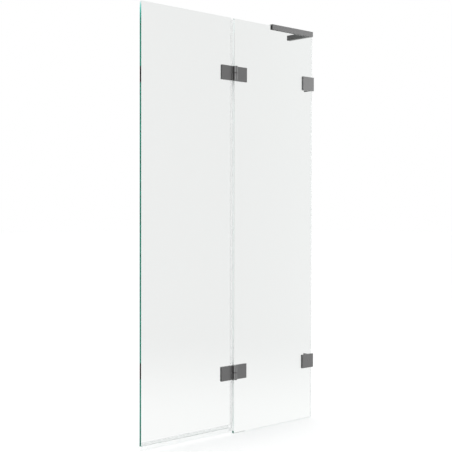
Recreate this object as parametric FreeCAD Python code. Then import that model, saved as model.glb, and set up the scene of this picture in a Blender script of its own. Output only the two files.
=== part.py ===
"""Two-panel bath screen: a fixed glass panel held to a wall and a glass door that swings on two hinges.

Millimetres. X = 0 is the wall, and the screen runs along -X to its free edge.
Y = 0 is the middle of the glass, with -Y towards the room and +Y over the bath.
Z = 0 is the bath rim, with +Z up.
"""

import FreeCAD, Part
import os

os.makedirs("parts", exist_ok=True)

# Glass panels
glass_height = 1500.0
glass_thickness = 8.0
glass_arris_on_face = 0.3
glass_arris_on_edge = 0.5
fixed_glass_width = 420.0
door_glass_width = 413.0
wall_joint = 3.0
seam_gap = 14.0
door_glass_lift = 23.0

# Fittings that clamp the glass
fitting_height = 52.0
fitting_thickness = 8.0
fitting_corner = 2.0
fitting_edge_break = 0.6
gasket_thickness = 1.0
gasket_inset = 0.2
upper_fitting_from_top = 200.0
lower_fitting_height = 223.0

# Clamping screws, with the plastic bushes that line the glass holes
screw_radius = 3.0
screw_bite = 5.0
screw_head_radius = 5.0
screw_head_height = 3.0
screw_spacing = 24.0
socket_across_flats = 4.0
socket_depth = 1.8
glass_hole_radius = 7.0
seat_clearance = 0.3
thread_clearance = 0.2

# Hinges
door_leaf_reach = 61.0
fixed_leaf_reach = 63.2
hinge_leaf_setback = 13.4
hinge_axis_standoff = 5.5
knuckle_radius = 7.0
knuckle_root = 11.0
knuckle_sweep = 14.0
knuckle_play = 0.4
hinge_pin_radius = 3.5
hinge_running_clearance = 0.05
hinge_pin_recess = 1.0
washer_radius = 6.5
washer_thickness = 1.0
clamp_plate_width = 36.0
clamp_plate_height = 40.0
clamp_plate_thickness = 5.0
clamp_plate_from_leaf_end = 11.0

# Wall brackets
bracket_cover_width = 61.6
angle_leg_width = 48.0
angle_leg_thickness = 6.0
angle_height = 47.0
angle_drop = 1.7
angle_flange_reach = 33.0
angle_flange_thickness = 6.0
angle_inner_round = 3.0
bracket_screw_from_wall = 28.0
wall_screw_radius = 2.75
wall_screw_spacing = 26.0
wall_screw_from_flange_end = 13.0

# Head rail that steadies the top of the fixed panel
rail_length = 227.0
rail_front_wall = 2.0
rail_back_wall = 4.0
rail_height = 19.6
rail_roof = 4.0
rail_wall_arm_reach = 106.0
rail_wall_arm_width = 16.0
rail_edge_break = 0.8
rail_screw_head_radius = 5.5
rail_screw_land = 6.0
rail_first_screw = 36.0
rail_screw_spacing = 50.0
rail_hole_cap_thickness = 3.0
rail_cap_thickness = 6.0
rail_cap_spigot_radius = 4.0
rail_cap_spigot_length = 8.0

# Clear seals
seam_seal_base = 1.5
seam_seal_web = 1.4
seam_seal_stop_lap = 6.0
seam_seal_foot = 9.0
seam_seal_head = 5.0
wall_seal_thickness = 2.7
drip_seal_leg_height = 12.0
drip_seal_wall = 1.5
drip_seal_base = 2.0
drip_seal_lip_height = 13.5
drip_seal_lip_thickness = 1.6
drip_seal_lip_lean = 3.0
drip_seal_tooth = 1.0
drip_seal_end_clearance = 0.6

overrun = 5.0

# Places worked out from the sizes above
half_glass = glass_thickness / 2
fixed_wall_edge = -wall_joint
fixed_seam_edge = fixed_wall_edge - fixed_glass_width
door_seam_edge = fixed_seam_edge - seam_gap
door_free_edge = door_seam_edge - door_glass_width
fitting_back = -half_glass - gasket_thickness
fitting_front = fitting_back - fitting_thickness
hinge_axis_x = (fixed_seam_edge + door_seam_edge) / 2
hinge_axis_y = fitting_front - hinge_axis_standoff
leaf_outward = {"door": -1, "fixed": 1}
leaf_reach = {"door": door_leaf_reach, "fixed": fixed_leaf_reach}
inner_seat = half_glass + gasket_thickness
fitting_levels = {
    "upper": glass_height - upper_fitting_from_top,
    "lower": lower_fitting_height,
}
half_fitting = fitting_height / 2


def point(x, y, z):
    return FreeCAD.Vector(x, y, z)


def block(x_low, x_high, y_low, y_high, z_low, z_high):
    return Part.makeBox(x_high - x_low, y_high - y_low, z_high - z_low, point(x_low, y_low, z_low))


def peg_along_y(x, z, y_low, y_high, radius):
    return Part.makeCylinder(radius, y_high - y_low, point(x, y_low, z), point(0, 1, 0))


def peg_along_z(x, y, z_low, z_high, radius):
    return Part.makeCylinder(radius, z_high - z_low, point(x, y, z_low), point(0, 0, 1))


def peg_along_x(y, z, x_low, x_high, radius):
    return Part.makeCylinder(radius, x_high - x_low, point(x_low, y, z), point(1, 0, 0))


def edges_along(shape, direction):
    """Straight edges of a shape that run along one row axis."""
    found = []
    for edge in shape.Edges:
        if not isinstance(edge.Curve, (Part.Line, Part.LineSegment)):
            continue
        run = edge.Vertexes[-1].Point - edge.Vertexes[0].Point
        if abs(abs(run.dot(direction)) - run.Length) < Part.Precision.confusion() * run.Length:
            found.append(edge)
    return found


def upright_edge_at(shape, x, y):
    """The upright edge of a prism that stands nearest to one place in plan."""
    upright = edges_along(shape, point(0, 0, 1))
    return min(upright, key=lambda edge: edge.CenterOfMass.distanceToPoint(point(x, y, edge.CenterOfMass.z)))


def face_at(shape, direction):
    """The flat face of a shape that lies furthest along one direction."""
    return max(shape.Faces, key=lambda face: face.CenterOfMass.dot(direction))


def rounded_plate(x_low, x_high, y_low, y_high, z_low, z_high, corner):
    """A flat plate facing Y with round corners."""
    plate = block(x_low, x_high, y_low, y_high, z_low, z_high)
    return plate.makeFillet(corner, edges_along(plate, point(0, 1, 0)))


def prism_up(corners, z_low, z_high):
    """A solid with a plan outline given as X and Y corners."""
    ring = [point(x, y, z_low) for x, y in corners]
    outline = Part.makePolygon(ring + ring[:1])
    return Part.Face(outline).extrude(point(0, 0, z_high - z_low))


def prism_along_y(corners, y_low, y_high):
    """A solid with a face outline given as X and Z corners."""
    ring = [point(x, y_low, z) for x, z in corners]
    outline = Part.makePolygon(ring + ring[:1])
    return Part.Face(outline).extrude(point(0, y_high - y_low, 0))


def prism_along_x(corners, x_low, x_high):
    """A solid with an end outline given as Y and Z corners."""
    ring = [point(x_low, y, z) for y, z in corners]
    outline = Part.makePolygon(ring + ring[:1])
    return Part.Face(outline).extrude(point(x_high - x_low, 0, 0))


def group(solids):
    return Part.makeCompound(solids)


def save(name, shape):
    shape.exportStep("parts/" + name + ".step")


def screw_places(x, level):
    """Two clamping screws, one above the other."""
    return [(x, level - screw_spacing / 2), (x, level + screw_spacing / 2)]


def glass_pane(x_low, x_high, z_low, holes):
    """A pane with polished, lightly broken edges and drilled holes."""
    edge = half_glass - glass_arris_on_edge
    outline = [
        (x_low, -edge),
        (x_low + glass_arris_on_face, -half_glass),
        (x_high - glass_arris_on_face, -half_glass),
        (x_high, -edge),
        (x_high, edge),
        (x_high - glass_arris_on_face, half_glass),
        (x_low + glass_arris_on_face, half_glass),
        (x_low, edge),
    ]
    pane = prism_up(outline, z_low, glass_height)
    rim = face_at(pane, point(0, 0, -1)).Edges + face_at(pane, point(0, 0, 1)).Edges
    pane = pane.makeChamfer(glass_arris_on_face, rim)
    for x, z in holes:
        pane = pane.cut(peg_along_y(x, z, -half_glass - overrun, half_glass + overrun, glass_hole_radius))
    return pane


def glass_bush(x, z):
    """A plastic bush that keeps the screw off the glass."""
    length = half_glass + gasket_thickness
    bush = peg_along_y(x, z, -length, length, glass_hole_radius - seat_clearance)
    bore = peg_along_y(x, z, -length - overrun, length + overrun, screw_radius + seat_clearance)
    return bush.cut(bore)


def clamp_screw(x, z, seat_y):
    """A low-head socket screw driven from the bath side into the fitting on the room side."""
    tip = fitting_back - screw_bite + seat_clearance
    shank = peg_along_y(x, z, tip, seat_y, screw_radius - thread_clearance)
    head = peg_along_y(x, z, seat_y, seat_y + screw_head_height, screw_head_radius)
    socket = Part.makePolygon(hexagon(x, seat_y + screw_head_height, z, socket_across_flats))
    recess = Part.Face(socket).extrude(point(0, -socket_depth, 0))
    return shank.fuse(head).cut(recess).removeSplitter()


def hexagon(x, y, z, across_flats):
    """Closed ring of six corners facing Y."""
    start = point(across_flats / 3**0.5, 0, 0)
    ring = [FreeCAD.Rotation(point(0, 1, 0), 60 * step).multVec(start) for step in range(7)]
    return [corner + point(x, y, z) for corner in ring]


def screw_sockets(plate, places, face_y):
    """Tapped holes from the glass side of a room-side fitting."""
    for x, z in places:
        plate = plate.cut(peg_along_y(x, z, face_y - screw_bite, face_y + overrun, screw_radius))
    return plate


def screw_seats(plate, places, low_y, high_y):
    """Clearance holes with flat-bottomed seats for the screw heads on the bath side."""
    seat_y = high_y - screw_head_height
    outside = high_y + overrun
    for x, z in places:
        plate = plate.cut(peg_along_y(x, z, low_y - overrun, outside, screw_radius + seat_clearance))
        plate = plate.cut(peg_along_y(x, z, seat_y, outside, screw_head_radius + seat_clearance))
    return plate


def gasket_sheet(x_low, x_high, z_low, z_high, y_low, places):
    """A thin gasket with holes for the bushes."""
    sheet = rounded_plate(x_low, x_high, y_low, y_low + gasket_thickness, z_low, z_high, fitting_corner)
    for x, z in places:
        hole = peg_along_y(x, z, y_low - overrun, y_low + gasket_thickness + overrun, glass_hole_radius)
        sheet = sheet.cut(hole)
    return sheet


def soften(plate, direction):
    """Break the edges round one face of a plate."""
    return plate.makeChamfer(fitting_edge_break, face_at(plate, direction).Edges)


# Hinge leaves: flat plates on the room side, each with half of the knuckle on its inner end
def knuckle_ends(side, level):
    """Where a leaf's own half of the knuckle ends, where it is split, and the leaf's far end."""
    top = level + half_fitting
    bottom = level - half_fitting
    if side == "door":
        return top, level + washer_thickness + knuckle_play, bottom
    return bottom, level, top


def leaf_plate(side, level):
    """A plate whose own half runs under the knuckle and whose other half stops short of it."""
    own_end, split, far_end = knuckle_ends(side, level)
    outer = hinge_axis_x + leaf_outward[side] * leaf_reach[side]
    short_end = hinge_axis_x + leaf_outward[side] * hinge_leaf_setback
    root_end = hinge_axis_x - leaf_outward[side] * knuckle_root
    outline = [
        (outer, far_end),
        (short_end, far_end),
        (short_end, split),
        (root_end, split),
        (root_end, own_end),
        (outer, own_end),
    ]
    plate = soften(prism_along_y(outline, fitting_front, fitting_back), point(0, -1, 0))
    return plate.cut(root_relief(root_end, min(own_end, far_end), max(own_end, far_end)))


def root_relief(root_end, z_low, z_high):
    """What is taken off the back of a leaf's root so that it turns clear of the glass."""
    x_low, x_high = min(hinge_axis_x, root_end), max(hinge_axis_x, root_end)
    y_high = fitting_back + overrun
    corner = block(x_low, x_high, hinge_axis_y, y_high, z_low - overrun, z_high + overrun)
    sweep = peg_along_z(hinge_axis_x, hinge_axis_y, z_low - overrun, z_high + overrun, knuckle_sweep)
    return corner.cut(sweep)


def hinge_leaf(side, level):
    """A leaf with its half of the knuckle, bored for the pin and tapped for the clamping screws."""
    own_end, split, far_end = knuckle_ends(side, level)
    low, high = min(own_end, split), max(own_end, split)
    barrel = peg_along_z(hinge_axis_x, hinge_axis_y, low, high, knuckle_radius)
    rims = [edge for edge in barrel.Edges if isinstance(edge.Curve, Part.Circle)]
    barrel = barrel.makeChamfer(fitting_edge_break, rims)
    bore_radius = hinge_pin_radius + hinge_running_clearance
    bore = peg_along_z(hinge_axis_x, hinge_axis_y, low - overrun, high + overrun, bore_radius)
    leaf = leaf_plate(side, level).fuse(barrel).removeSplitter().cut(bore)
    return screw_sockets(leaf, hinge_screw_places(side, level), fitting_back)


def clamp_plate_span(side):
    """X limits of the clamp plate behind a leaf: the door's or the fixed panel's."""
    outer = hinge_axis_x + leaf_outward[side] * (leaf_reach[side] - clamp_plate_from_leaf_end)
    inner = outer - leaf_outward[side] * clamp_plate_width
    return min(outer, inner), max(outer, inner)


def hinge_screw_places(side, level):
    low, high = clamp_plate_span(side)
    return screw_places((low + high) / 2, level)


def hinge_clamp_plate(side, level):
    low, high = clamp_plate_span(side)
    half = clamp_plate_height / 2
    outer = inner_seat + clamp_plate_thickness
    plate = rounded_plate(low, high, inner_seat, outer, level - half, level + half, fitting_corner)
    plate = soften(plate, point(0, 1, 0))
    return screw_seats(plate, hinge_screw_places(side, level), inner_seat, outer)


def hinge_gaskets(side, level):
    """The pair of gaskets on the two faces of the glass under one leaf."""
    places = hinge_screw_places(side, level)
    outer = hinge_axis_x + leaf_outward[side] * (leaf_reach[side] - gasket_inset)
    inner = hinge_axis_x + leaf_outward[side] * (hinge_leaf_setback + gasket_inset)
    leaf_low, leaf_high = min(outer, inner), max(outer, inner)
    low, high = clamp_plate_span(side)
    tall = half_fitting - gasket_inset
    short = clamp_plate_height / 2
    front = gasket_sheet(leaf_low, leaf_high, level - tall, level + tall, fitting_back, places)
    back = gasket_sheet(low, high, level - short, level + short, half_glass, places)
    return group([front, back])


def save_hinge(name, level):
    seat_y = inner_seat + clamp_plate_thickness - screw_head_height
    for side in leaf_outward:
        places = hinge_screw_places(side, level)
        stem = name + "_hinge_" + side
        save(stem + "_leaf", hinge_leaf(side, level))
        save(stem + "_gaskets", hinge_gaskets(side, level))
        save(stem + "_clamp_plate", hinge_clamp_plate(side, level))
        save(stem + "_screws", group([clamp_screw(x, z, seat_y) for x, z in places]))
        save(stem + "_bushes", group([glass_bush(x, z) for x, z in places]))

    pin_low = level - half_fitting + hinge_pin_recess
    pin_high = level + half_fitting - hinge_pin_recess
    save(name + "_hinge_pin", peg_along_z(hinge_axis_x, hinge_axis_y, pin_low, pin_high, hinge_pin_radius))
    washer_top = level + washer_thickness
    ring = peg_along_z(hinge_axis_x, hinge_axis_y, level, washer_top, washer_radius)
    hole_radius = hinge_pin_radius + hinge_running_clearance
    hole = peg_along_z(hinge_axis_x, hinge_axis_y, level - overrun, washer_top + overrun, hole_radius)
    save(name + "_hinge_washer", ring.cut(hole))


# Wall brackets: a cover plate on the room side and an angle on the bath side grip the glass
def bracket_screw_places(level):
    return screw_places(-bracket_screw_from_wall, level)


def bracket_cover(level):
    low, high = level - half_fitting, level + half_fitting
    plate = block(-bracket_cover_width, 0, fitting_front, fitting_back, low, high)
    plate = soften(plate, point(0, -1, 0))
    return screw_sockets(plate, bracket_screw_places(level), fitting_back)


def bracket_angle(level):
    """An angle with one leg behind the glass and one leg flat on the wall."""
    leg_back = inner_seat + angle_leg_thickness
    flange_end = inner_seat + angle_flange_reach
    outline = [
        (0, inner_seat),
        (0, flange_end),
        (-angle_flange_thickness, flange_end),
        (-angle_flange_thickness, leg_back),
        (-angle_leg_width, leg_back),
        (-angle_leg_width, inner_seat),
    ]
    low, high = angle_span(level)
    angle = prism_up(outline, low, high)
    inside = upright_edge_at(angle, -angle_flange_thickness, leg_back)
    angle = angle.makeFillet(angle_inner_round, [inside])
    angle = screw_seats(angle, bracket_screw_places(level), inner_seat, leg_back)
    for y, z in wall_screw_places(level):
        angle = angle.cut(peg_along_x(y, z, -angle_flange_thickness - overrun, overrun, wall_screw_radius))
    return angle


def angle_span(level):
    """Z limits of an angle, which hangs a little lower than its cover."""
    middle = level - angle_drop
    return middle - angle_height / 2, middle + angle_height / 2


def wall_screw_places(level):
    y = inner_seat + angle_flange_reach - wall_screw_from_flange_end
    middle = level - angle_drop
    return [(y, middle - wall_screw_spacing / 2), (y, middle + wall_screw_spacing / 2)]


def bracket_gaskets(level):
    places = bracket_screw_places(level)
    front_low = -bracket_cover_width + gasket_inset
    high = fixed_wall_edge - gasket_inset
    tall = half_fitting - gasket_inset
    low, top = angle_span(level)
    front = gasket_sheet(front_low, high, level - tall, level + tall, fitting_back, places)
    back = gasket_sheet(-angle_leg_width, high, low, top, half_glass, places)
    return group([front, back])


def save_bracket(name, level):
    places = bracket_screw_places(level)
    seat_y = inner_seat + angle_leg_thickness - screw_head_height
    stem = name + "_bracket"
    save(stem + "_cover", bracket_cover(level))
    save(stem + "_angle", bracket_angle(level))
    save(stem + "_gaskets", bracket_gaskets(level))
    save(stem + "_screws", group([clamp_screw(x, z, seat_y) for x, z in places]))
    save(stem + "_bushes", group([glass_bush(x, z) for x, z in places]))


# Head rail: a channel over the top edge of the glass, with an arm along the wall
rail_top = glass_height + gasket_thickness + rail_roof
rail_bottom = rail_top - rail_height
rail_front = -half_glass - gasket_thickness - rail_front_wall
rail_back = half_glass + gasket_thickness + rail_back_wall


def rail_channel():
    slot_half = half_glass + gasket_thickness
    slot_top = glass_height + gasket_thickness
    outline = [
        (rail_front, rail_bottom),
        (rail_front, rail_top),
        (rail_back, rail_top),
        (rail_back, rail_bottom),
        (slot_half, rail_bottom),
        (slot_half, slot_top),
        (-slot_half, slot_top),
        (-slot_half, rail_bottom),
    ]
    channel = prism_along_x(outline, -rail_length, 0)
    ridge = [e for e in edges_along(channel, point(1, 0, 0)) if e.CenterOfMass.z > slot_top]
    return channel.makeFillet(rail_edge_break, ridge)


def rail_gasket():
    outer = half_glass + gasket_thickness
    roof = glass_height + gasket_thickness
    outline = [
        (-outer, rail_bottom),
        (-outer, roof),
        (outer, roof),
        (outer, rail_bottom),
        (half_glass, rail_bottom),
        (half_glass, glass_height),
        (-half_glass, glass_height),
        (-half_glass, rail_bottom),
    ]
    return prism_along_x(outline, -rail_length + gasket_inset, fixed_wall_edge)


def rail_screw_places():
    first = rail_back + rail_first_screw
    middle_z = (rail_top + rail_bottom) / 2
    return [(first, middle_z), (first + rail_screw_spacing, middle_z)]


def rail_wall_arm():
    """A bar flat on the wall, with sunk holes for its wall screws."""
    arm = block(-rail_wall_arm_width, 0, rail_back, rail_back + rail_wall_arm_reach, rail_bottom, rail_top)
    room_edges = edges_along(face_at(arm, point(-1, 0, 0)), point(0, 1, 0))
    arm = arm.makeFillet(rail_edge_break, room_edges)
    for y, z in rail_screw_places():
        arm = arm.cut(peg_along_x(y, z, -rail_wall_arm_width - overrun, overrun, wall_screw_radius))
        head = peg_along_x(y, z, -rail_wall_arm_width - overrun, -rail_screw_land, rail_screw_head_radius)
        arm = arm.cut(head)
    return arm.cut(rail_cap_spigot(rail_cap_spigot_radius + seat_clearance, seat_clearance))


def rail_hole_caps():
    """Flush discs that cover the heads of the arm's wall screws."""
    face = -rail_wall_arm_width
    radius = rail_screw_head_radius - seat_clearance
    return group([
        peg_along_x(y, z, face, face + rail_hole_cap_thickness, radius) for y, z in rail_screw_places()
    ])


def rail_cap_spigot(radius, extra_depth):
    """The round peg that holds the cap in the end of the wall arm."""
    arm_end = rail_back + rail_wall_arm_reach
    middle_z = (rail_top + rail_bottom) / 2
    depth = rail_cap_spigot_length + extra_depth
    return peg_along_y(-rail_wall_arm_width / 2, middle_z, arm_end - depth, arm_end, radius)


def rail_end_cap():
    """A plastic cap on the free end of the wall arm."""
    arm_end = rail_back + rail_wall_arm_reach
    cap = block(-rail_wall_arm_width, 0, arm_end, arm_end + rail_cap_thickness, rail_bottom, rail_top)
    cap = cap.makeChamfer(rail_edge_break, face_at(cap, point(0, 1, 0)).Edges)
    return cap.fuse(rail_cap_spigot(rail_cap_spigot_radius, 0)).removeSplitter()


# Clear seals
def seam_seal():
    """A strip bonded to the fixed panel's edge, with a stop lip that laps behind the door."""
    base = fixed_seam_edge - seam_seal_base
    lip_near = half_glass + seat_clearance
    lip_far = lip_near + seam_seal_web
    lip_end = door_seam_edge - seam_seal_stop_lap
    outline = [
        (fixed_seam_edge, -half_glass),
        (base, -half_glass),
        (base, lip_near),
        (lip_end, lip_near),
        (lip_end, lip_far),
        (fixed_seam_edge, lip_far),
    ]
    return prism_up(outline, seam_seal_foot, glass_height - seam_seal_head)


def wall_seal():
    """A strip that fills the joint between the fixed panel and the wall."""
    return block(-wall_seal_thickness, 0, -half_glass, half_glass, 0, rail_bottom - seat_clearance)


def drip_seal():
    """A clip-on channel under the door with a leaning lip that wipes the bath rim."""
    outer = half_glass + drip_seal_wall
    leg_top = door_glass_lift + drip_seal_leg_height
    base_low = door_glass_lift - drip_seal_base
    lip_low = base_low - drip_seal_lip_height
    lip_back = -half_glass + drip_seal_lip_thickness
    outline = [
        (-outer, base_low + drip_seal_tooth),
        (-outer, leg_top),
        (-half_glass, leg_top),
        (-half_glass, door_glass_lift),
        (half_glass, door_glass_lift),
        (half_glass, leg_top),
        (outer, leg_top),
        (outer, base_low + drip_seal_tooth),
        (half_glass, base_low),
        (lip_back, base_low),
        (lip_back + drip_seal_lip_lean, lip_low),
        (lip_back + drip_seal_lip_lean - drip_seal_tooth, lip_low),
        (-half_glass, base_low),
    ]
    seam_end = door_seam_edge - seam_seal_stop_lap - drip_seal_end_clearance
    return prism_along_x(outline, door_free_edge, seam_end)


fixed_holes = []
door_holes = []
for name, level in fitting_levels.items():
    fixed_holes += hinge_screw_places("fixed", level) + bracket_screw_places(level)
    door_holes += hinge_screw_places("door", level)
    save_hinge(name, level)
    save_bracket(name, level)

save("fixed_glass_panel", glass_pane(fixed_seam_edge, fixed_wall_edge, 0, fixed_holes))
save("door_glass_panel", glass_pane(door_free_edge, door_seam_edge, door_glass_lift, door_holes))
save("head_rail_channel", rail_channel())
save("head_rail_gasket", rail_gasket())
save("head_rail_wall_arm", rail_wall_arm())
save("head_rail_end_cap", rail_end_cap())
save("head_rail_hole_caps", rail_hole_caps())
save("seam_seal_strip", seam_seal())
save("wall_seal_strip", wall_seal())
save("door_drip_seal", drip_seal())
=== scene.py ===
import math
import bpy
from mathutils import Matrix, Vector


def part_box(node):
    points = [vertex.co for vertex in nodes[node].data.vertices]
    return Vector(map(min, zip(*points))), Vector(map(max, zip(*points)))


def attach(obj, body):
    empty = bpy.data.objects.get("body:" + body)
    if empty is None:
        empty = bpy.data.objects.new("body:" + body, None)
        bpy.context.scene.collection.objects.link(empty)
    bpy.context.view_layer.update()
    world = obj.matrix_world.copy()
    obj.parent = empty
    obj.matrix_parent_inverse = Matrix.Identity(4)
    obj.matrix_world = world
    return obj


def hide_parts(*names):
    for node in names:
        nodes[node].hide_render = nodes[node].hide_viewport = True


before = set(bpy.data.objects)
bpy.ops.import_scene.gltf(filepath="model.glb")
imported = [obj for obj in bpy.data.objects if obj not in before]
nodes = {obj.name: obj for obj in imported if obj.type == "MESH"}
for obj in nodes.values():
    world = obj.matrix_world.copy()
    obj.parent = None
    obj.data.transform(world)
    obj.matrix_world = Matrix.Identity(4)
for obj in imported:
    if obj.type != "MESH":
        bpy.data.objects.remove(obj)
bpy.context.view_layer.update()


# Fixed glass panel and glass door
# Two panes of clear 8 mm toughened float glass, cut, ground and polished at the edges. Iron in the glass
# tints a long light path teal. Edges at the seam, wall, top and fixed foot let light straight on.
def new_material(name):
    """An empty material with a Principled shader on its output."""
    material = bpy.data.materials.new(name)
    material.use_nodes = True
    material.node_tree.nodes.clear()
    shader = material.node_tree.nodes.new("ShaderNodeBsdfPrincipled")
    output = material.node_tree.nodes.new("ShaderNodeOutputMaterial")
    material.node_tree.links.new(shader.outputs["BSDF"], output.inputs["Surface"])
    return material, shader


def dress(node, material):
    """Put one finish on a CAD node."""
    nodes[node].data.materials.clear()
    nodes[node].data.materials.append(material)


def wipe_marks_group():
    """Faint upright streaks that a cloth leaves on clean glass, as a roughness."""
    streak_stretch = (34.0, 34.0, 2.2)
    streak_detail = 6.0
    patch_scale = 3.1
    group = bpy.data.node_groups.new("wipe_marks", "ShaderNodeTree")
    group.interface.new_socket("Vector", in_out="INPUT", socket_type="NodeSocketVector")
    group.interface.new_socket("Strength", in_out="INPUT", socket_type="NodeSocketFloat")
    group.interface.new_socket("Roughness", in_out="OUTPUT", socket_type="NodeSocketFloat")
    make, link = group.nodes.new, group.links.new
    inside, outside = make("NodeGroupInput"), make("NodeGroupOutput")
    stretch = make("ShaderNodeMapping")
    stretch.inputs["Scale"].default_value = streak_stretch
    streaks = make("ShaderNodeTexNoise")
    streaks.inputs["Scale"].default_value = 1.0
    streaks.inputs["Detail"].default_value = streak_detail
    patches = make("ShaderNodeTexNoise")
    patches.inputs["Scale"].default_value = patch_scale
    both = make("ShaderNodeMath")
    both.operation = "MULTIPLY"
    scaled = make("ShaderNodeMath")
    scaled.operation = "MULTIPLY"
    link(inside.outputs["Vector"], stretch.inputs["Vector"])
    link(stretch.outputs["Vector"], streaks.inputs["Vector"])
    link(inside.outputs["Vector"], patches.inputs["Vector"])
    link(streaks.outputs["Fac"], both.inputs[0])
    link(patches.outputs["Fac"], both.inputs[1])
    link(both.outputs[0], scaled.inputs[0])
    link(inside.outputs["Strength"], scaled.inputs[1])
    link(scaled.outputs[0], outside.inputs["Roughness"])
    return group


wipe_marks = wipe_marks_group()
glass_arris = 0.00035
mirrored_foot_length = 0.06


def edge_mask(tree, place):
    """1 over the panes and the door's free edge, 0 on the edges that show no mirror band."""
    door_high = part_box("door_glass_panel")[1]
    fixed_low, fixed_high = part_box("fixed_glass_panel")
    seam_left = door_high[0] - glass_arris
    seam_right = fixed_low[0] + glass_arris
    seal_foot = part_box("seam_seal_strip")[0][2]

    def math_step(operation, first, *rest):
        """One Math node, fed by links or by plain numbers."""
        step = tree.nodes.new("ShaderNodeMath")
        step.operation = operation
        tree.links.new(first, step.inputs[0])
        for socket, value in zip(step.inputs[1:], rest):
            if isinstance(value, float):
                socket.default_value = value
            else:
                tree.links.new(value, socket)
        return step.outputs[0]

    split = tree.nodes.new("ShaderNodeSeparateXYZ")
    tree.links.new(place, split.inputs[0])
    along, up = split.outputs["X"], split.outputs["Z"]
    gap = math_step("COMPARE", along, (seam_left + seam_right) / 2, (seam_right - seam_left) / 2)
    seam = math_step("MULTIPLY", gap, math_step("GREATER_THAN", up, seal_foot))
    wall = math_step("COMPARE", along, fixed_high[0], glass_arris)
    past_seam = math_step("GREATER_THAN", along, fixed_low[0] + mirrored_foot_length)
    foot = math_step("MULTIPLY", math_step("COMPARE", up, fixed_low[2], glass_arris), past_seam)
    head = math_step("COMPARE", up, door_high[2], glass_arris)
    ends = math_step("MAXIMUM", foot, head)
    closed = math_step("MAXIMUM", seam, math_step("MAXIMUM", wall, ends))
    return math_step("LESS_THAN", closed, 0.5)


def toughened_glass():
    """Clear glass whose colour comes from what it absorbs along the light's path."""
    material, shader = new_material("toughened_glass")
    tree = material.node_tree
    shader.inputs["Base Color"].default_value = (0.999, 0.946, 0.944, 1.0)
    shader.inputs["Transmission Weight"].default_value = 1.0
    shader.inputs["IOR"].default_value = 1.5
    place = tree.nodes.new("ShaderNodeTexCoord")
    marks = tree.nodes.new("ShaderNodeGroup")
    marks.node_tree = wipe_marks
    marks.inputs["Strength"].default_value = 0.02
    tree.links.new(place.outputs["Object"], marks.inputs["Vector"])
    tree.links.new(marks.outputs["Roughness"], shader.inputs["Roughness"])
    tree.links.new(edge_mask(tree, place.outputs["Object"]), shader.inputs["Alpha"])
    tint = tree.nodes.new("ShaderNodeVolumeAbsorption")
    tint.inputs["Color"].default_value = (0.0, 0.708, 0.638, 1.0)
    tint.inputs["Density"].default_value = 10.5
    tree.links.new(tint.outputs["Volume"], tree.nodes["Material Output"].inputs["Volume"])
    return material


clear_glass = toughened_glass()
for name in ("fixed_glass_panel", "door_glass_panel"):
    dress(name, clear_glass)
    nodes[name].visible_shadow = False


# Hinges
# Solid brass leaves and clamp plates, milled flat, bead blasted and plated dark grey. A leaf on the
# room side and a plate behind grip each pane, and the leaves' knuckles turn on one upright pin.
mix_color_a, mix_color_b, mix_color_out = 6, 7, 2


def satin_grain_group():
    """Fine blasted grain with long faint lay marks: a tone, a roughness and a height."""
    grain_scale, grain_detail = 2600.0, 3.0
    lay_stretch, lay_detail = (60.0, 60.0, 2200.0), 4.0
    lay_share = 0.45
    cloud_scale = 46.0
    group = bpy.data.node_groups.new("satin_grain", "ShaderNodeTree")
    group.interface.new_socket("Vector", in_out="INPUT", socket_type="NodeSocketVector")
    for label in ("Low Tone", "High Tone"):
        group.interface.new_socket(label, in_out="INPUT", socket_type="NodeSocketColor")
    for label in ("Low Roughness", "High Roughness"):
        group.interface.new_socket(label, in_out="INPUT", socket_type="NodeSocketFloat")
    group.interface.new_socket("Color", in_out="OUTPUT", socket_type="NodeSocketColor")
    group.interface.new_socket("Roughness", in_out="OUTPUT", socket_type="NodeSocketFloat")
    group.interface.new_socket("Height", in_out="OUTPUT", socket_type="NodeSocketFloat")
    make, link = group.nodes.new, group.links.new
    inside, outside = make("NodeGroupInput"), make("NodeGroupOutput")
    grain = make("ShaderNodeTexNoise")
    grain.inputs["Scale"].default_value = grain_scale
    grain.inputs["Detail"].default_value = grain_detail
    lay = make("ShaderNodeMapping")
    lay.inputs["Scale"].default_value = lay_stretch
    lines = make("ShaderNodeTexNoise")
    lines.inputs["Scale"].default_value = 1.0
    lines.inputs["Detail"].default_value = lay_detail
    cloud = make("ShaderNodeTexNoise")
    cloud.inputs["Scale"].default_value = cloud_scale
    blend = make("ShaderNodeMix")
    blend.data_type = "FLOAT"
    blend.inputs["Factor"].default_value = lay_share
    tone = make("ShaderNodeMix")
    tone.data_type = "RGBA"
    gloss = make("ShaderNodeMix")
    gloss.data_type = "FLOAT"
    link(inside.outputs["Vector"], grain.inputs["Vector"])
    link(inside.outputs["Vector"], lay.inputs["Vector"])
    link(lay.outputs["Vector"], lines.inputs["Vector"])
    link(inside.outputs["Vector"], cloud.inputs["Vector"])
    link(grain.outputs["Fac"], blend.inputs["A"])
    link(lines.outputs["Fac"], blend.inputs["B"])
    link(blend.outputs["Result"], tone.inputs["Factor"])
    link(inside.outputs["Low Tone"], tone.inputs[mix_color_a])
    link(inside.outputs["High Tone"], tone.inputs[mix_color_b])
    link(cloud.outputs["Fac"], gloss.inputs["Factor"])
    link(inside.outputs["Low Roughness"], gloss.inputs["A"])
    link(inside.outputs["High Roughness"], gloss.inputs["B"])
    link(tone.outputs[mix_color_out], outside.inputs["Color"])
    link(gloss.outputs["Result"], outside.inputs["Roughness"])
    link(blend.outputs["Result"], outside.inputs["Height"])
    return group


satin_grain = satin_grain_group()
grain_depth = 0.00005


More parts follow.
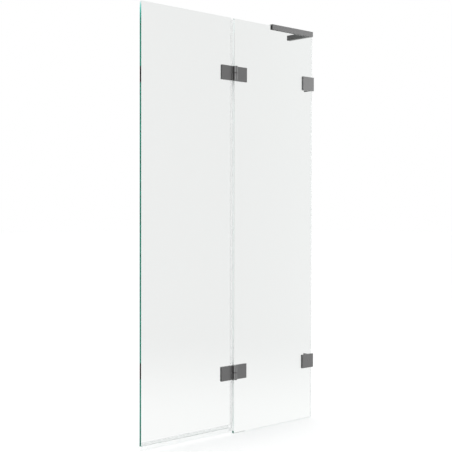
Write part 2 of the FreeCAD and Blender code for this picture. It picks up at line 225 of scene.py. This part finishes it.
def plated_metal(name, low_tone, high_tone, low_roughness, high_roughness, relief):
    """A metal with the satin grain in its colour, gloss and surface."""
    material, shader = new_material(name)
    tree = material.node_tree
    shader.inputs["Metallic"].default_value = 1.0
    place = tree.nodes.new("ShaderNodeTexCoord")
    grain = tree.nodes.new("ShaderNodeGroup")
    grain.node_tree = satin_grain
    grain.inputs["Low Tone"].default_value = (*low_tone, 1.0)
    grain.inputs["High Tone"].default_value = (*high_tone, 1.0)
    grain.inputs["Low Roughness"].default_value = low_roughness
    grain.inputs["High Roughness"].default_value = high_roughness
    bump = tree.nodes.new("ShaderNodeBump")
    bump.inputs["Strength"].default_value = relief
    bump.inputs["Distance"].default_value = grain_depth
    tree.links.new(place.outputs["Object"], grain.inputs["Vector"])
    tree.links.new(grain.outputs["Color"], shader.inputs["Base Color"])
    tree.links.new(grain.outputs["Roughness"], shader.inputs["Roughness"])
    tree.links.new(grain.outputs["Height"], bump.inputs["Height"])
    tree.links.new(bump.outputs["Normal"], shader.inputs["Normal"])
    return material


gunmetal = plated_metal("gunmetal", (0.325, 0.325, 0.326), (0.405, 0.405, 0.406),
                        low_roughness=0.26, high_roughness=0.36, relief=0.15)
for level in ("upper", "lower"):
    for side in ("door", "fixed"):
        dress(level + "_hinge_" + side + "_leaf", gunmetal)
        dress(level + "_hinge_" + side + "_clamp_plate", gunmetal)


# Wall brackets
# Brass covers on the room side and brass angles behind the glass, plated like the hinges. Screws pull
# the two together through the pane, and the angle's flange is screwed to the wall.
# Both covers carry the same plating: the upper cover's lighter tone is painted light, and the lower
# cover's darker tone is painted shade.
upper_cover_painted_light = plated_metal("upper_bracket_painted_light_gunmetal", (0.425, 0.425, 0.426), (0.515, 0.515, 0.516),
                           low_roughness=0.24, high_roughness=0.33, relief=0.12)
lower_cover_painted_shade = plated_metal("lower_bracket_painted_shade_gunmetal", (0.29, 0.29, 0.291), (0.36, 0.36, 0.361),
                           low_roughness=0.24, high_roughness=0.33, relief=0.12)
# The angles behind the glass, the rail's wall arm and its caps carry the same plating in a darker tone,
# which is painted shade.
painted_shade_gunmetal = plated_metal("painted_shade_gunmetal", (0.21, 0.21, 0.211), (0.28, 0.28, 0.281),
                             low_roughness=0.28, high_roughness=0.38, relief=0.15)
dress("upper_bracket_cover", upper_cover_painted_light)
dress("lower_bracket_cover", lower_cover_painted_shade)
for level in ("upper", "lower"):
    dress(level + "_bracket_angle", painted_shade_gunmetal)


# Head rail
# A slim plated brass channel over the top edge of the fixed panel, with an arm that is screwed along
# the wall. A cap plugs the arm's free end, and two round caps hide its screws.
# The channel's finer grain and lower roughness are its own. Its lighter tone than the hinges is painted
# light.
fine_painted_light_gunmetal = plated_metal("fine_painted_light_gunmetal", (0.40, 0.40, 0.401), (0.49, 0.49, 0.491),
                             low_roughness=0.24, high_roughness=0.33, relief=0.12)
dress("head_rail_channel", fine_painted_light_gunmetal)
# The arm and its caps take the darker tone of painted shade.
for piece in ("head_rail_wall_arm", "head_rail_end_cap", "head_rail_hole_caps"):
    dress(piece, painted_shade_gunmetal)


# Screws and hinge pins
# Turned stainless steel, bright from the tool. The screws pull covers, leaves and plates together
# through bushed holes in the glass, and one pin carries each hinge.
bright_steel = plated_metal("stainless_steel", (0.50, 0.50, 0.51), (0.60, 0.60, 0.61),
                            low_roughness=0.22, high_roughness=0.32, relief=0.1)
for level in ("upper", "lower"):
    dress(level + "_hinge_pin", bright_steel)
    dress(level + "_bracket_screws", bright_steel)
    for side in ("door", "fixed"):
        dress(level + "_hinge_" + side + "_screws", bright_steel)


# Gaskets, bushes and washers
# Dark moulded plastic and rubber. Gaskets and bushes keep the metal off the glass and take up the
# clamping force, and a washer carries the door's weight between the knuckles.
def moulded_plastic(name, low_tone, high_tone):
    """Matt plastic with the fine grain of its mould."""
    mould_scale, mould_relief = 1800.0, 0.2
    material, shader = new_material(name)
    tree = material.node_tree
    place = tree.nodes.new("ShaderNodeTexCoord")
    grain = tree.nodes.new("ShaderNodeTexNoise")
    grain.inputs["Scale"].default_value = mould_scale
    tone = tree.nodes.new("ShaderNodeMix")
    tone.data_type = "RGBA"
    tone.inputs[mix_color_a].default_value = (*low_tone, 1.0)
    tone.inputs[mix_color_b].default_value = (*high_tone, 1.0)
    shader.inputs["Roughness"].default_value = 0.55
    bump = tree.nodes.new("ShaderNodeBump")
    bump.inputs["Strength"].default_value = mould_relief
    bump.inputs["Distance"].default_value = grain_depth
    tree.links.new(place.outputs["Object"], grain.inputs["Vector"])
    tree.links.new(grain.outputs["Fac"], tone.inputs["Factor"])
    tree.links.new(tone.outputs[mix_color_out], shader.inputs["Base Color"])
    tree.links.new(grain.outputs["Fac"], bump.inputs["Height"])
    tree.links.new(bump.outputs["Normal"], shader.inputs["Normal"])
    return material


dark_plastic = moulded_plastic("dark_plastic", (0.018, 0.018, 0.019), (0.03, 0.03, 0.032))
for level in ("upper", "lower"):
    dress(level + "_hinge_washer", dark_plastic)
    for piece in ("bracket", "hinge_door", "hinge_fixed"):
        dress(level + "_" + piece + "_gaskets", dark_plastic)
        dress(level + "_" + piece + "_bushes", dark_plastic)
dress("head_rail_gasket", dark_plastic)


# Seam seal on the fixed panel's edge
# A PVC extrusion bonded along the edge of the fixed panel: a milky base, a greyer web across the gap
# and a clear lip that laps behind the door, which shuts against it. The die leaves every edge round.
def seal_plastic(name, tone, solidity):
    """Clear or milky plastic, by how much it hides of what lies behind it."""
    material, shader = new_material(name)
    tree = material.node_tree
    shader.inputs["Base Color"].default_value = (*tone, 1.0)
    shader.inputs["Alpha"].default_value = solidity
    shader.inputs["IOR"].default_value = 1.35
    place = tree.nodes.new("ShaderNodeTexCoord")
    marks = tree.nodes.new("ShaderNodeGroup")
    marks.node_tree = wipe_marks
    marks.inputs["Strength"].default_value = 0.5
    tree.links.new(place.outputs["Object"], marks.inputs["Vector"])
    tree.links.new(marks.outputs["Roughness"], shader.inputs["Roughness"])
    return material


def start_bar(name, low, high):
    """A plain bar between two corners: the stock that a seal is shaped from."""
    bpy.ops.object.select_all(action="DESELECT")
    middle = [(a + b) / 2 for a, b in zip(low, high)]
    size = [b - a for a, b in zip(low, high)]
    bpy.ops.mesh.primitive_cube_add(size=1.0, location=middle, scale=size)
    bpy.ops.object.transform_apply(location=True, rotation=True, scale=True)
    bar = bpy.context.object
    bar.name = name
    return bar


def split_across(place, normal):
    """A cut all round the active bar, which parts its faces into strips."""
    bpy.ops.object.mode_set(mode="EDIT")
    bpy.ops.mesh.select_all(action="SELECT")
    bpy.ops.mesh.bisect(plane_co=place, plane_no=normal)
    bpy.ops.object.mode_set(mode="OBJECT")


def pull_faces(bar, chosen, move):
    """Extrude the faces that a test picks by their middle and their normal."""
    bpy.ops.object.mode_set(mode="EDIT")
    bpy.ops.mesh.select_mode(type="FACE")
    bpy.ops.mesh.select_all(action="DESELECT")
    bpy.ops.object.mode_set(mode="OBJECT")
    for face in bar.data.polygons:
        face.select = chosen(face.center, face.normal)
    bpy.ops.object.mode_set(mode="EDIT")
    bpy.ops.mesh.extrude_region_move(TRANSFORM_OT_translate={"value": move})
    bpy.ops.object.mode_set(mode="OBJECT")


def round_edges(bar, radius):
    """Round every edge and shade the rounds smooth."""
    rounding = bar.modifiers.new("rounded_edges", "BEVEL")
    rounding.width = radius
    rounding.segments = 3
    rounding.limit_method = "ANGLE"
    rounding.angle_limit = math.radians(25)
    bpy.ops.object.modifier_apply(modifier=rounding.name)
    bpy.ops.object.shade_smooth_by_angle(angle=math.radians(35))


def fit_seal(bar, node, body, finish):
    """Let a finished seal stand for its plain solid."""
    bar.data.materials.append(finish)
    bar.visible_shadow = False
    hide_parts(node)
    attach(bar, body)


seal_play = 0.0001
square_on = 0.9
seam_low, seam_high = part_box("seam_seal_strip")
seam_base_thickness = 0.0015
seam_lip_thickness = 0.0014
seam_round = 0.0005
seam_base_face = seam_high[0] - seam_base_thickness
seam_lip_face = seam_high[1] - seam_lip_thickness
seam_web_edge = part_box("door_glass_panel")[1][0]
seam_seal = start_bar("seam_seal", (seam_base_face, seam_low[1], seam_low[2]),
                      (seam_high[0] - seal_play, seam_high[1], seam_high[2]))
split_across((0, seam_lip_face, 0), (0, 1, 0))
pull_faces(seam_seal, lambda middle, normal: normal.x < -square_on and middle.y > seam_lip_face,
           (seam_low[0] - seam_base_face, 0, 0))
split_across((seam_web_edge, 0, 0), (1, 0, 0))
round_edges(seam_seal, seam_round)
seam_base = seal_plastic("seam_base", (0.96, 0.97, 0.965), solidity=0.92)
fit_seal(seam_seal, "seam_seal_strip", "fixed_screen", seam_base)
seam_seal.data.materials.append(seal_plastic("seam_web", (0.45, 0.47, 0.465), solidity=0.18))
seam_seal.data.materials.append(seal_plastic("seam_lip", (0.70, 0.72, 0.715), solidity=0.03))
for face in seam_seal.data.polygons:
    if face.center.x < seam_web_edge:
        face.material_index = 2
    elif face.center.x < seam_base_face - seam_round:
        face.material_index = 1


# Seal in the wall joint
# A soft translucent strip pressed between the glass and the wall from the rim up to the head rail, with
# its two faces drawn in a little along the middle.
wall_low, wall_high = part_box("wall_seal_strip")
wall_hollow = 0.0006
wall_round = 0.0002
wall_cuts = 4
wall_start = wall_low[0] + seal_play
wall_seal = start_bar("wall_seal", (wall_start, wall_low[1], wall_low[2]), wall_high)
wall_width = wall_high[0] - wall_start
for cut in range(1, wall_cuts):
    split_across((wall_start + wall_width * cut / wall_cuts, 0, 0), (1, 0, 0))
for corner in wall_seal.data.vertices:
    across = (corner.co.x - wall_start) / wall_width
    corner.co.y -= math.copysign(wall_hollow * 4 * across * (1 - across), corner.co.y)
round_edges(wall_seal, wall_round)
wall_plastic = seal_plastic("wall_seal", (0.93, 0.94, 0.94), solidity=0.22)
fit_seal(wall_seal, "wall_seal_strip", "fixed_screen", wall_plastic)


# Drip seal under the door
# A rigid clear PVC channel that clips over the bottom edge of the door. The softer, clearer lip is
# extruded with it, curls inwards and wipes the bath rim, so that water runs back into the bath.
drip_low, drip_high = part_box("door_drip_seal")
drip_leg_height = 0.012
drip_base = 0.002
drip_round = 0.0004
glass_half = 0.004
drip_inner_half = glass_half + seal_play
drip_lip_thickness = 0.0016
drip_bottom = drip_high[2] - drip_leg_height - drip_base
drip_top = drip_bottom + drip_base - seal_play
drip_seal = start_bar("drip_seal", (drip_low[0], drip_low[1], drip_bottom),
                      (drip_high[0], drip_high[1], drip_top))
drip_lip_front = -drip_inner_half
drip_lip_back = drip_lip_front + drip_lip_thickness
for across in (drip_lip_front, drip_lip_back, drip_inner_half):
    split_across((0, across, 0), (0, 1, 0))
pull_faces(drip_seal, lambda middle, normal: normal.z > square_on and abs(middle.y) > drip_inner_half,
           (0, 0, drip_high[2] - drip_top))
lip_leans = (0.0004, 0.0009, 0.0014)
lip_square_on = 0.8
lip_step = (drip_low[2] - drip_bottom) / len(lip_leans)
lip_middle = (drip_lip_front + drip_lip_back) / 2
for lean in lip_leans:
    pull_faces(drip_seal, lambda middle, normal: normal.z < -lip_square_on
               and middle.z < drip_top - drip_base / 2
               and abs(middle.y - lip_middle) < drip_lip_thickness / 4, (0, lean, lip_step))
    lip_middle += lean
round_edges(drip_seal, drip_round)
drip_channel = seal_plastic("drip_channel", (0.70, 0.72, 0.72), solidity=0.15)
fit_seal(drip_seal, "door_drip_seal", "door", drip_channel)
drip_seal.data.materials.append(seal_plastic("drip_lip", (0.92, 0.935, 0.935), solidity=0.1))
for face in drip_seal.data.polygons:
    face.material_index = 1 if face.center.z < drip_bottom else 0


# Studio
# A wide white floor under one soft overhead lamp. Grey screens that only mirrored rays see stand round
# the room, and the white backdrop is a little brighter low down behind the screen.
floor_size = 60.0
floor_place = (-0.4, 0.0, -0.0005)
bpy.ops.object.select_all(action="DESELECT")
bpy.ops.mesh.primitive_plane_add(size=floor_size, location=floor_place)
floor = bpy.context.object
floor.name = "studio_floor"
floor_material, floor_shader = new_material("studio_floor")
floor_shader.inputs["Base Color"].default_value = (0.97, 0.97, 0.97, 1.0)
floor_shader.inputs["Roughness"].default_value = 1.0
floor_shader.inputs["Specular IOR Level"].default_value = 0.0
floor.data.materials.append(floor_material)
floor.visible_glossy = False
floor.visible_transmission = False

world = bpy.data.worlds.new("white_studio")
bpy.context.scene.world = world
world.use_nodes = True
tree = world.node_tree
tree.nodes.clear()
make, link = tree.nodes.new, tree.links.new


def ramp(value, from_low, from_high, to_low, to_high):
    """A smooth step between two levels."""
    step = make("ShaderNodeMapRange")
    step.interpolation_type = "SMOOTHSTEP"
    limits = {"From Min": from_low, "From Max": from_high, "To Min": to_low, "To Max": to_high}
    for label, limit in limits.items():
        step.inputs[label].default_value = limit
    link(value, step.inputs["Value"])
    return step.outputs["Result"]


def combine(operation, first, second):
    """One Math node over two linked values."""
    step = make("ShaderNodeMath")
    step.operation = operation
    for socket, value in zip(step.inputs, (first, second)):
        link(value, socket)
    return step.outputs[0]


direction = make("ShaderNodeTexCoord").outputs["Generated"]
flat = make("ShaderNodeVectorMath")
flat.operation = "MULTIPLY"
flat.inputs[1].default_value = (1.0, 1.0, 0.0)
link(direction, flat.inputs[0])
heading = make("ShaderNodeVectorMath")
heading.operation = "NORMALIZE"
link(flat.outputs[0], heading.inputs[0])


def upright_screen(axis, middle, around, inner, outer):
    """How light one upright screen and the room round it look, by the angle from its middle."""
    along = make("ShaderNodeVectorMath")
    along.operation = "DOT_PRODUCT"
    along.inputs[1].default_value = axis
    link(heading.outputs[0], along.inputs[0])
    far, near = math.cos(math.radians(outer)), math.cos(math.radians(inner))
    return ramp(along.outputs["Value"], far, near, around, middle)


room_light = 1.06
mirrored_room = 1.05
dark_grey, mid_grey = 0.2, 0.5
front_screen = upright_screen((0.588, -0.809, 0.0), dark_grey, mirrored_room, inner=3.0, outer=18.0)
back_screen = upright_screen((-0.69, 0.72, 0.0), dark_grey, mirrored_room, inner=20.0, outer=40.0)
near_screen = upright_screen((-0.259, -0.966, 0.0), mid_grey, mirrored_room, inner=30.0, outer=45.0)
screens = combine("MINIMUM", combine("MINIMUM", front_screen, back_screen), near_screen)
split = make("ShaderNodeSeparateXYZ")
link(direction, split.inputs[0])
steep = make("ShaderNodeMath")
steep.operation = "ABSOLUTE"
link(split.outputs["Z"], steep.inputs[0])
grey_end = 0.15
end_start, end_full = 0.2, 0.45
grey_ends = ramp(steep.outputs[0], end_start, end_full, mirrored_room, grey_end)
mirrored = combine("MINIMUM", screens, grey_ends)
white, bright_white = 1.0, 1.12
ground_full, ground_end = -0.215, -0.125
bright_ground = ramp(split.outputs["Z"], ground_full, ground_end, bright_white, white)
bright_corner = upright_screen((0.688, 0.726, 0.0), bright_white, white, inner=20.0, outer=35.0)
behind_glass = combine("MINIMUM", bright_ground, bright_corner)

backdrop = make("ShaderNodeBackground")
link(behind_glass, backdrop.inputs["Strength"])
room = make("ShaderNodeBackground")
room.inputs["Strength"].default_value = room_light
studio = make("ShaderNodeBackground")
link(mirrored, studio.inputs["Strength"])
for light in (backdrop, room, studio):
    light.inputs["Color"].default_value = (1.0, 1.0, 1.0, 1.0)
light_path = make("ShaderNodeLightPath")
unmirrored = make("ShaderNodeMath")
unmirrored.operation = "LESS_THAN"
unmirrored.inputs[1].default_value = 0.5
link(light_path.outputs["Glossy Depth"], unmirrored.inputs[0])
straight_through = combine("MULTIPLY", light_path.outputs["Is Transmission Ray"], unmirrored.outputs[0])
seen = combine("MAXIMUM", light_path.outputs["Is Camera Ray"], straight_through)
lit_or_mirrored = make("ShaderNodeMixShader")
link(light_path.outputs["Is Glossy Ray"], lit_or_mirrored.inputs[0])
link(room.outputs[0], lit_or_mirrored.inputs[1])
link(studio.outputs[0], lit_or_mirrored.inputs[2])
with_backdrop = make("ShaderNodeMixShader")
link(seen, with_backdrop.inputs[0])
link(lit_or_mirrored.outputs[0], with_backdrop.inputs[1])
link(backdrop.outputs[0], with_backdrop.inputs[2])
link(with_backdrop.outputs[0], make("ShaderNodeOutputWorld").inputs["Surface"])

lamp_width = 3.0
lamp_data = bpy.data.lights.new("overhead_softbox", "AREA")
lamp_data.shape = "RECTANGLE"
lamp_data.size = lamp_width
lamp_data.size_y = lamp_width
lamp_data.energy = 20.0
lamp = bpy.data.objects.new("overhead_softbox", lamp_data)
lamp.location = (-0.6, -0.8, 3.4)
lamp.visible_glossy = False
bpy.context.scene.collection.objects.link(lamp)


# Camera
# A plain camera that stands where the photograph was taken from, with its pan, tilt, roll and focal
# length. Light may bounce often, because it runs a long way inside the panes.
camera_place = (-2.8285, -2.4978, 0.8007)
pan, tilt, roll = math.radians(46.514), math.radians(0.813), 0.00168524
camera_data = bpy.data.cameras.new("photo_camera")
camera_data.sensor_width = 36.0
camera_data.lens = 76.40
camera_data.clip_end = 200.0
camera = bpy.data.objects.new("photo_camera", camera_data)
turn = (Matrix.Rotation(pan - math.pi / 2, 4, "Z") @ Matrix.Rotation(math.pi / 2 - tilt, 4, "X")
        @ Matrix.Rotation(roll, 4, "Z"))
camera.matrix_world = Matrix.Translation(camera_place) @ turn
scene = bpy.context.scene
scene.collection.objects.link(camera)
scene.camera = camera
scene.view_settings.view_transform = "Standard"
most_bounces = 64
scene.cycles.max_bounces = most_bounces
scene.cycles.glossy_bounces = most_bounces
scene.cycles.transmission_bounces = most_bounces
